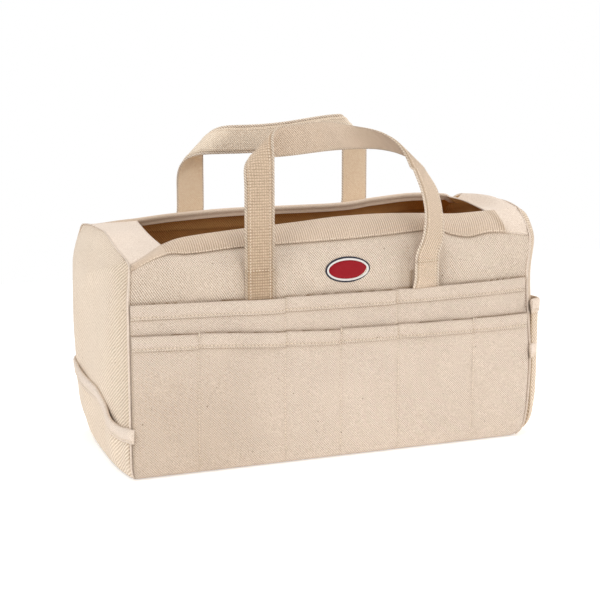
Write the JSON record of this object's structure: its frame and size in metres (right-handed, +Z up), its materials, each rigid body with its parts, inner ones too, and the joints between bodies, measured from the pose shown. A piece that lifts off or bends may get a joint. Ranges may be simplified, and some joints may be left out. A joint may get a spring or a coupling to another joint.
{
  "type": "tool bag",
  "caption": "Open-topped canvas tool bag with rows of outside pockets, webbing round the mouth and swinging webbing handles.",
  "frame": {"origin": "middle of the underside of the bag", "axes": "+X along the long side to the right, the front faces -Y, +Z up"},
  "size_m": [0.5398, 0.2518, 0.39],
  "materials": {
    "canvas": "unbleached cotton twill, matte",
    "webbing": "woven cotton webbing, matte",
    "badge_dark": "smooth",
    "badge_pale": "smooth",
    "badge_red": "smooth"
  },
  "bodies": {
    "bag": {"badge_backing": "badge_dark", "badge_face": "badge_red", "badge_ring": "badge_pale", "base_panel": "canvas", "front_left_corner_binding": "canvas", "front_left_strap_anchor": "webbing", "front_lower_pocket_binding": "canvas", "front_lower_pocket_strip": "canvas", "front_panel": "canvas", "front_right_corner_binding": "canvas", "front_right_strap_anchor": "webbing", "front_rim_band": "webbing", "front_upper_pocket_binding": "canvas", "front_upper_pocket_strip": "canvas", "left_end_panel": "canvas", "left_end_pocket": "canvas", "left_end_pocket_binding": "canvas", "left_top_cap": "canvas", "rear_left_corner_binding": "canvas", "rear_left_strap_anchor": "webbing", "rear_lower_pocket_binding": "canvas", "rear_lower_pocket_strip": "canvas", "rear_panel": "canvas", "rear_right_corner_binding": "canvas", "rear_right_strap_anchor": "webbing", "rear_rim_band": "webbing", "rear_upper_pocket_binding": "canvas", "rear_upper_pocket_strip": "canvas", "right_end_lower_pocket": "canvas", "right_end_lower_pocket_binding": "canvas", "right_end_panel": "canvas", "right_end_upper_pocket": "canvas", "right_end_upper_pocket_binding": "canvas", "right_top_cap": "canvas"},
    "front_handle": {"front_handle_loop": "webbing"},
    "rear_handle": {"rear_handle_loop": "webbing"}
  },
  "joints": [
    {"name": "front_handle_swing", "type": "hinge", "parent": "bag", "child": "front_handle", "pos_m": [0.004, -0.121, 0.2275], "axis": [1, 0, 0], "range_deg": [-30, 165]},
    {"name": "rear_handle_swing", "type": "hinge", "parent": "bag", "child": "rear_handle", "pos_m": [0.003, 0.121, 0.2275], "axis": [-1, 0, 0], "range_deg": [-30, 165]}
  ]
}
